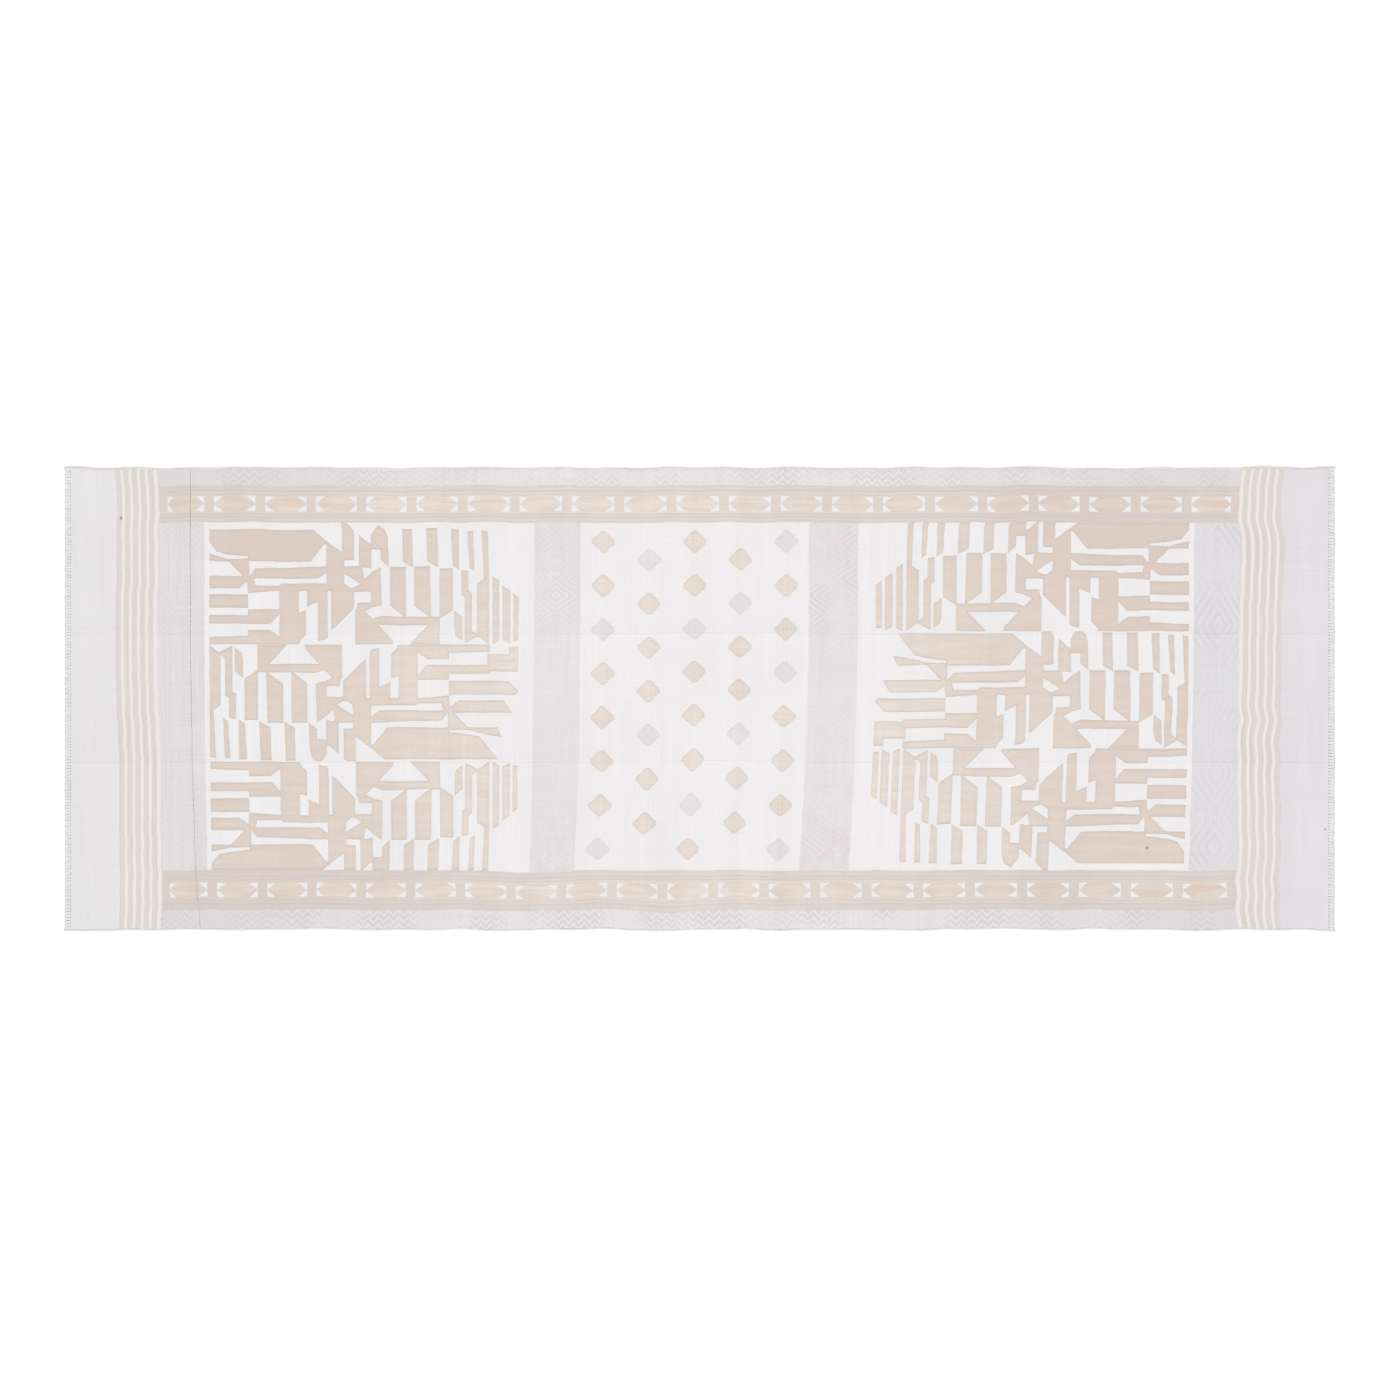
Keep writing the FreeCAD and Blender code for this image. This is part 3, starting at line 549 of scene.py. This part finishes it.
pinkBlots = {"axis": 1, "low": -0.204, "high": 0.210, "colour": "#DACFD1", "patches": (60, 45, 1),
             "stops": [(0.0, 0.7), (0.12, 0.4), (0.3, 0.1), (0.75, 0.1), (0.9, 0.4), (1.0, 0.7)]}
crossCotton, endCotton = {}, {}
for side in ("left", "right"):
    low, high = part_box("cross_band_" + side)
    crossCotton[side] = wovenMaterial("grey_figured_band_cotton_" + side, variant(
        greyCotton, tints=[pinkBlots],
        figure=variant(lozenges, middle=(low.x + high.x) / 2, strong=0.85 if side == "right" else 0.42)))
    low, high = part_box("end_panel_" + side)
    endCotton[side] = wovenMaterial("grey_figured_end_cotton_" + side, variant(
        greyCotton, dark="#CBC9CC" if side == "right" else "#CBC9CA",
        light="#DFDDE0" if side == "right" else "#DFDDDE",
        weights=variant(greyCotton["weights"], weft=1.1 if side == "left" else 0.6),
        figure=variant(lozenges, middle=(low.x + high.x) / 2,
                       repeat=0.046 if side == "left" else 0.088, strong=0.3 if side == "left" else 0.5,
                       colour="#C6C3C8", where=[(0.0, 0.8), (0.4, 0.4), (1.0, 1.0)])))
# the zigzags are drawn coarser than they are woven, about 8 mm apart, so that they show
edgeCotton = wovenMaterial("grey_figured_edge_cotton", variant(
    greyCotton, dark="#D1CECF", light="#E6E3E4",
    tints=[{"axis": 0, "mirrored": True, "low": 0.20, "high": 0.60, "colour": "#CBC5C9",
            "stops": [(0.0, 0.0), (0.5, 0.2), (1.0, 0.45)]}],
    figure={"kind": "zigzag", "repeat": 0.0125, "steepness": 1.1, "spacing": 0.0078,
            "colour": "#BEB8BC", "faint": 0.06, "strong": 0.42, "where": [(0.0, 1.0), (1.0, 0.8)]}))

# bunched warp at the long edges: a soft pale line of pinkish beige, greyer at its two ends
selvedgeCotton = wovenMaterial("selvedge_warp_bunched", variant(
    plainCotton, dark="#D5CDC7", light="#E8E2DD", drift=0.0, balance=0.5,
    tints=[{"axis": 0, "mirrored": True, "low": 0.68, "high": 0.75, "colour": "#CDC8CC",
            "stops": [(0.0, 0.0), (1.0, 0.7)]}],
    weights={"weave": 0.3, "warp": 0.3, "weft": 0.6, "bands": 1.6, "slow": 0.8, "fold": 0.0}))
# cut warp ends, untwisted: pale, with a greyer root and darker tips
fringeCotton = wovenMaterial("cut_warp_ends", variant(
    plainCotton, dark="#D7D5D9", light="#EAE8EB",
    tints=[{"axis": 0, "mirrored": True, "low": 0.747, "high": 0.756, "colour": "#B7B3B8",
            "stops": [(0.0, 0.5), (0.1, 0.5), (0.2, 0.0), (0.42, 0.0), (0.5, 0.3), (0.58, 0.0),
                      (0.76, 0.0), (0.86, 0.9), (1.0, 0.9)]}],
    weights={"weave": 0.0, "warp": 1.2, "weft": 0.4, "bands": 0.3, "slow": 0.4, "fold": 0.0}))
# one dark grey weft thread carried right across
darkThread = wovenMaterial("dark_weft_thread", variant(
    plainCotton, dark="#8F8C91", light="#CBC8CB", tints=[], balance=0.45,
    weights={"weave": 0.0, "warp": 2.4, "weft": 0.0, "bands": 0.0, "slow": 0.8, "fold": 0.0}))
print("table runner: yarns and cloths made")


def closedSheet(xs, ys, half):
    # two grids, half a thickness above and below the middle, joined round their edge
    columns, rows = len(xs), len(ys)
    gridX, gridY = np.meshgrid(xs, ys)
    layer = np.column_stack([gridX.ravel(), gridY.ravel()])
    count = len(layer)
    flat = np.vstack([np.column_stack([layer, np.full(count, half)]),
                      np.column_stack([layer, np.full(count, -half)])])
    index = np.arange(count).reshape(rows, columns)
    top = np.stack([index[:-1, :-1], index[:-1, 1:], index[1:, 1:], index[1:, :-1]], -1)
    top = top.reshape(-1, 4)
    under = top[:, ::-1] + count
    loop = np.concatenate([index[0, :-1], index[:-1, -1], index[-1, :0:-1], index[:0:-1, 0]])
    following = np.roll(loop, -1)
    sides = np.column_stack([loop + count, following + count, following, loop])
    return flat, np.vstack([top, under, sides]).tolist()


def evenStations(low, high, cell):
    # places about one cell apart, from low to high
    return np.linspace(low, high, max(2, round((high - low) / cell) + 1))


# the plain weave itself
groundSheet = {"cell": 5 * millimetre}
low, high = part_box("ground_cloth")
flat, faces = closedSheet(evenStations(low.x, high.x, groundSheet["cell"]),
                          evenStations(low.y, high.y, groundSheet["cell"]), lying["groundHalf"])
ground = stands(meshPiece("woven_ground", flat, faces), "ground_cloth", groundCotton)
print("table runner: ground laid,", len(faces), "faces")


handWork = {
    "wobbleX": 0.5 * millimetre, "waveX": ([0.0131, 0.0213, 0.0307], [0.2, 1.1, 2.9]),
    "wobbleY": 0.45 * millimetre, "waveY": ([0.0143, 0.0237, 0.0331], [2.0, 0.6, 4.2]),
    "slant": 0.4,
}


def handWobble(x, y):
    # the inlaid yarn turns back a thread early or late: short sines, up to half a millimetre
    alongX = swell(x * handWork["slant"] + y, handWork["waveX"])
    alongY = swell(x + y * handWork["slant"], handWork["waveY"])
    return handWork["wobbleX"] * alongX, handWork["wobbleY"] * alongY


# a darker turn of yarn along the outline: how wide, and how much of it is lost on a run
# that crosses the cloth
rimYarn = {"panel": 1.8 * millimetre, "diamond": 3.0 * millimetre, "acrossLoss": 0.55}
# Inlays are cut along a square grid. It starts part of a cell in, clear of most outlines.
inlayCell = {"wide": 7 * millimetre, "stripe": 4.5 * millimetre, "small": 6 * millimetre,
             "outlined": 3 * millimetre, "start": 0.37}
# these are far smaller than any feature of an inlay
tiny = {"merge": 1e-6, "onCut": 1e-7, "flatAngle": 0.01}


def outlineNearness(points, outline, width):
    # 1 on a straight run of the outline that lies along the cloth, less by acrossLoss on one
    # that crosses it, and less again by the distance over the width
    near = np.zeros(len(points))
    for start, end in outline:
        run = end - start
        share = np.clip((points - start) @ run / (run @ run), 0, 1)
        away = np.linalg.norm(points - start - share[:, None] * run, axis=1)
        strength = 1 - rimYarn["acrossLoss"] * abs(run[1]) / math.hypot(*run)
        near = np.maximum(near, strength * (1 - away / width))
    return near


def layInlay(nodeName, cell, material, wobble=1.0, rimWidth=0.0):
    # a copy of the node's solids, doubles merged, cut along a square grid so that it
    # can bend, and then laid through the cloth from face to face
    work = bmesh.new()
    work.from_mesh(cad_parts[nodeName].data)
    bmesh.ops.remove_doubles(work, verts=work.verts, dist=tiny["merge"])
    diagonals = [edge for edge in work.edges
                 if all(abs(face.normal.z) < 0.5 for face in edge.link_faces)]
    bmesh.ops.dissolve_limit(work, angle_limit=tiny["flatAngle"], verts=[], edges=diagonals)
    outline = np.array([[point.co.xy for point in edge.verts] for edge in work.edges
                        if sorted(round(face.normal.z) for face in edge.link_faces) == [0, 1]])
    low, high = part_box(nodeName)
    for axis in (0, 1):
        normal = (1, 0, 0) if axis == 0 else (0, 1, 0)
        first = math.ceil(low[axis] / cell) * cell + cell * inlayCell["start"]
        for place in np.arange(first, high[axis], cell):
            spot = (place, 0, 0) if axis == 0 else (0, place, 0)
            bmesh.ops.bisect_plane(work, geom=work.verts[:] + work.edges[:] + work.faces[:],
                                   dist=tiny["onCut"], plane_co=spot, plane_no=normal)
    cut = bpy.data.meshes.new("cut")
    work.to_mesh(cut)
    work.free()
    flat = np.empty(len(cut.vertices) * 3, np.float32)
    cut.vertices.foreach_get("co", flat)
    flat = flat.reshape(-1, 3).astype(float)
    rim = outlineNearness(flat[:, :2], outline, rimWidth) if rimWidth else None
    middle = (low.z + high.z) / 2
    flat[:, 2] = (flat[:, 2] - middle) / (high.z - middle) * lying["inlayHalf"]
    faces = [tuple(face.vertices) for face in cut.polygons]
    bpy.data.meshes.remove(cut)
    shiftX, shiftY = handWobble(flat[:, 0], flat[:, 1])
    moved = flat + np.column_stack([shiftX, shiftY, np.zeros(len(flat))]) * wobble
    piece = meshPiece("woven_" + nodeName, flat, faces, lay(moved), rim)
    return stands(piece, nodeName, material)


# how much of the hand wobble each kind of inlay has
wobbles = {"heading": 0.0, "stripe": 0.6, "panel": 0.6, "diamond": 1.3}
inlays = []
for side in ("left", "right"):
    inlays += [
        layInlay("heading_" + side, inlayCell["wide"],
                 headingLeftCotton if side == "left" else headingRightCotton, wobbles["heading"]),
        layInlay("stripes_" + side, inlayCell["stripe"], stripeCotton,
                 wobbles["stripe"]),
        layInlay("end_panel_" + side, inlayCell["wide"], endCotton[side]),
        layInlay("cross_band_" + side, inlayCell["wide"], crossCotton[side]),
        layInlay("geometric_panel_" + side, inlayCell["outlined"], beigePanelCotton,
                 wobbles["panel"], rimYarn["panel"]),
    ]
print("table runner: headings, stripes, bands and panels laid in")
for side in ("back", "front"):
    inlays += [
        layInlay("edge_band_" + side, inlayCell["wide"], edgeCotton),
        layInlay("border_" + side, inlayCell["wide"], borderCotton[side]),
        layInlay("medallions_" + side, inlayCell["small"], medallionCotton),
    ]
print("table runner: borders laid in")

# the diamonds worked in grey, as (column, row); the others are beige
greyDiamonds = {(1, 3), (1, 8), (2, 1), (2, 5), (3, 3), (3, 7), (4, 2), (4, 5), (5, 1), (5, 4), (5, 8)}
for nodeName in sorted(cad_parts):
    if nodeName.startswith("diamond_"):
        place = tuple(int(part) for part in nodeName.split("_")[1:])
        isGrey = place in greyDiamonds
        inlays.append(layInlay(
            nodeName, inlayCell["outlined"],
            greyDiamondCotton if isGrey else beigeDiamondCotton, wobbles["diamond"],
            rimYarn["diamond"]))
print("table runner: diamonds laid in,", len(inlays), "inlays in all")


def yarnAlong(path, wide, high, sides):
    # an oval profile carried along a path: one ring of points per station, ends closed
    # to a flat cap; each ring stands across the path in the flat cloth
    ahead = np.gradient(path[:, :2], axis=0)
    ahead = ahead / np.linalg.norm(ahead, axis=1)[:, None]
    across = np.column_stack([-ahead[:, 1], ahead[:, 0]])
    angle = 2 * math.pi * np.arange(sides) / sides
    ringWide = np.cos(angle)[None, :] * wide[:, None]
    ringHigh = np.sin(angle)[None, :] * high[:, None]
    flat = np.dstack([
        path[:, 0, None] + across[:, 0, None] * ringWide,
        path[:, 1, None] + across[:, 1, None] * ringWide,
        path[:, 2, None] + ringHigh,
    ]).reshape(-1, 3)
    index = np.arange(len(path) * sides).reshape(len(path), sides)
    beside = np.roll(index, -1, axis=1)
    walls = np.stack([index[:-1], beside[:-1], beside[1:], index[1:]], -1).reshape(-1, 4)
    return flat, walls.tolist() + [index[0, ::-1].tolist(), index[-1].tolist()]


selvedge = {"wide": 0.85 * millimetre, "high": 0.30 * millimetre, "cell": 4 * millimetre, "sides": 8,
            "beyond": 8.5 * millimetre, "swing": ([0.023, 0.037, 0.091], [0.3, 1.8, 2.6]),
            "swingWide": 0.18, "swingHigh": 0.1}
for side in ("back", "front"):
    low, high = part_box("selvedge_" + side)
    stations = evenStations(low.x - selvedge["beyond"], high.x + selvedge["beyond"], selvedge["cell"])
    swing = swell(stations, selvedge["swing"])
    path = np.column_stack([stations, np.full(len(stations), (low.y + high.y) / 2), 0 * stations])
    flat, faces = yarnAlong(path, selvedge["wide"] * (1 + selvedge["swingWide"] * swing),
                            selvedge["high"] * (1 + selvedge["swingHigh"] * swing),
                            selvedge["sides"])
    stands(meshPiece("woven_selvedge_" + side, flat, faces), "selvedge_" + side,
                            selvedgeCotton)

# the dark thread lies on the cloth at its own bend, (Y in metres, millimetres along X), so
# the pull of the cloth under it is taken off again
darkPick = {"radius": 0.33 * millimetre, "flatness": 0.7, "sides": 6, "cell": 2.2 * millimetre,
            "tremble": 0.3 * millimetre, "trembleWave": ([0.05, 0.13], [1, 2]),
            "bend": [(-0.275, 6.6), (-0.253, 5), (-0.235, 2.9), (-0.18, 0.2), (-0.11, -2.1), (0, -4.4),
                     (0.10, -5.2), (0.275, -5.4)]}
low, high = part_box("dark_pick")
stations = evenStations(low.y, high.y, darkPick["cell"])
bend = np.array(darkPick["bend"])
pull = np.interp(stations, bend[:, 0], bend[:, 1]) * millimetre
pull = pull + swell(stations, darkPick["trembleWave"]) * darkPick["tremble"]
straight = np.full(len(stations), (low.x + high.x) / 2)
pull = pull - pullX(straight, stations)
path = np.column_stack([straight + pull, stations, np.full(len(stations), lying["inlayHalf"])])
flat, faces = yarnAlong(path, np.full(len(stations), darkPick["radius"]),
                        np.full(len(stations), darkPick["radius"] * darkPick["flatness"]),
                        darkPick["sides"])
stands(meshPiece("woven_dark_pick", flat, faces), "dark_pick", darkThread)
print("table runner: selvedges and dark pick laid")


# Cut warp ends. Each bunch is six flat yarns that leave the cloth side by side, a little unevenly.
fringe = {"bunchYarns": 6, "wide": 0.44 * millimetre, "high": 0.17 * millimetre, "rings": 4, "sides": 4,
          "pitch": 3.6 * millimetre, "shortest": 0.95, "droop": 0.2 * millimetre, "root": 0.8 * millimetre,
          "beyond": 1.6 * millimetre, "halfBunch": 1.15 * millimetre, "uneven": 0.06 * millimetre,
          "yarnLean": 0.12 * millimetre, "bunchLean": 0.3 * millimetre, "taper": 0.35,
          "seeds": {"left": 31, "right": 47}}


def fringeYarns(side):
    # each yarn runs outwards from the short edge as a parabola: sideways lean and droop
    # times distance squared; its flat section tapers by about a third at the tip
    rng = np.random.default_rng(fringe["seeds"][side])
    low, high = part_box("fringe_" + side)
    sign = -1.0 if side == "left" else 1.0
    root = high.x if side == "left" else low.x
    bunches = round((high.y - low.y) / fringe["pitch"]) + 2
    middles = np.linspace(low.y - fringe["beyond"], high.y + fringe["beyond"], bunches)
    count = bunches * fringe["bunchYarns"]
    offset = np.tile(np.linspace(-fringe["halfBunch"], fringe["halfBunch"], fringe["bunchYarns"]),
                     bunches)
    starts = np.repeat(middles, fringe["bunchYarns"]) + offset + rng.normal(0, fringe["uneven"], count)
    lengths = (high.x - low.x) * rng.uniform(fringe["shortest"], 1.0, count)
    lean = rng.normal(0, fringe["yarnLean"], count)
    lean = lean + np.repeat(rng.normal(0, fringe["bunchLean"], bunches), fringe["bunchYarns"])
    step = np.linspace(0, 1, fringe["rings"])
    angle = 2 * math.pi * (np.arange(fringe["sides"]) + 0.5) / fringe["sides"]
    taper = (1 - fringe["taper"] * step ** 2)[None, :, None]
    out = root + sign * (step[None, :] * lengths[:, None] - fringe["root"])
    across = starts[:, None] + lean[:, None] * step[None, :] ** 2
    sink = -fringe["droop"] * step ** 2
    flat = np.stack(np.broadcast_arrays(
        out[:, :, None],
        across[:, :, None] + np.cos(angle)[None, None, :] * fringe["wide"] * taper,
        sink[None, :, None] + np.sin(angle)[None, None, :] * fringe["high"] * taper,
    ), -1)
    index = np.arange(count * fringe["rings"] * fringe["sides"])
    index = index.reshape(count, fringe["rings"], fringe["sides"])
    beside = np.roll(index, -1, axis=2)
    walls = np.stack([index[:, :-1], beside[:, :-1], beside[:, 1:], index[:, 1:]], -1).reshape(-1, 4)
    caps = np.vstack([index[:, 0, ::-1], index[:, -1]])
    faces = np.vstack([walls, caps])
    return flat.reshape(-1, 3), (faces if side == "right" else faces[:, ::-1]).tolist()


for side in ("left", "right"):
    flat, faces = fringeYarns(side)
    stands(meshPiece("woven_fringe_" + side, flat, faces), "fringe_" + side,
                            fringeCotton)
print("table runner: fringes laid")

low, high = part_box("ground_cloth")


# a plain pale table under plain soft studio light
studio = {"floorHalf": 14.0, "floorColour": "#F7F7F7", "sky": 0.70, "lamp": 1.48, "lampSpread": 60,
          "lampTilt": 25, "lampTurn": -28, "lens": 135, "sensor": 36, "farthest": 100,
          "height": 6.25, "aim": (0.0, -0.0012)}
floorMesh = bpy.data.meshes.new("studio_table")
half = studio["floorHalf"]
floorMesh.from_pydata([(-half, -half, 0), (half, -half, 0), (half, half, 0), (-half, half, 0)],
                      [], [(0, 1, 2, 3)])
floor = bpy.data.objects.new("studio_table", floorMesh)
scene.collection.objects.link(floor)
# matt white card: no gloss
card = bpy.data.materials.new("matt_white_card")
card.use_nodes = True
card.node_tree.nodes.clear()
matt = addNode(card.node_tree, "ShaderNodeBsdfDiffuse", {"Color": linear(studio["floorColour"])})
addNode(card.node_tree, "ShaderNodeOutputMaterial", {"Surface": matt.outputs[0]})
floorMesh.materials.append(card)

world = bpy.data.worlds.new("soft_sky")
world.use_nodes = True
world.node_tree.nodes.clear()
sky = addNode(world.node_tree, "ShaderNodeBackground",
              {"Color": (1, 1, 1, 1), "Strength": studio["sky"]})
addNode(world.node_tree, "ShaderNodeOutputWorld", {"Surface": sky.outputs[0]})
scene.world = world

lampLight = bpy.data.lights.new("studio_lamp", "SUN")
lampLight.energy = studio["lamp"]
lampLight.angle = math.radians(studio["lampSpread"])
lamp = bpy.data.objects.new("studio_lamp", lampLight)
lamp.rotation_euler = (math.radians(studio["lampTilt"]), 0, math.radians(studio["lampTurn"]))
scene.collection.objects.link(lamp)

cameraLens = bpy.data.cameras.new("overhead_camera")
cameraLens.lens = studio["lens"]
cameraLens.sensor_width = studio["sensor"]
cameraLens.clip_end = studio["farthest"]
camera = bpy.data.objects.new("overhead_camera", cameraLens)
camera.location = (*studio["aim"], studio["height"])
scene.collection.objects.link(camera)
scene.camera = camera
scene.view_settings.view_transform = "Standard"
print("table runner: table, light and camera set")
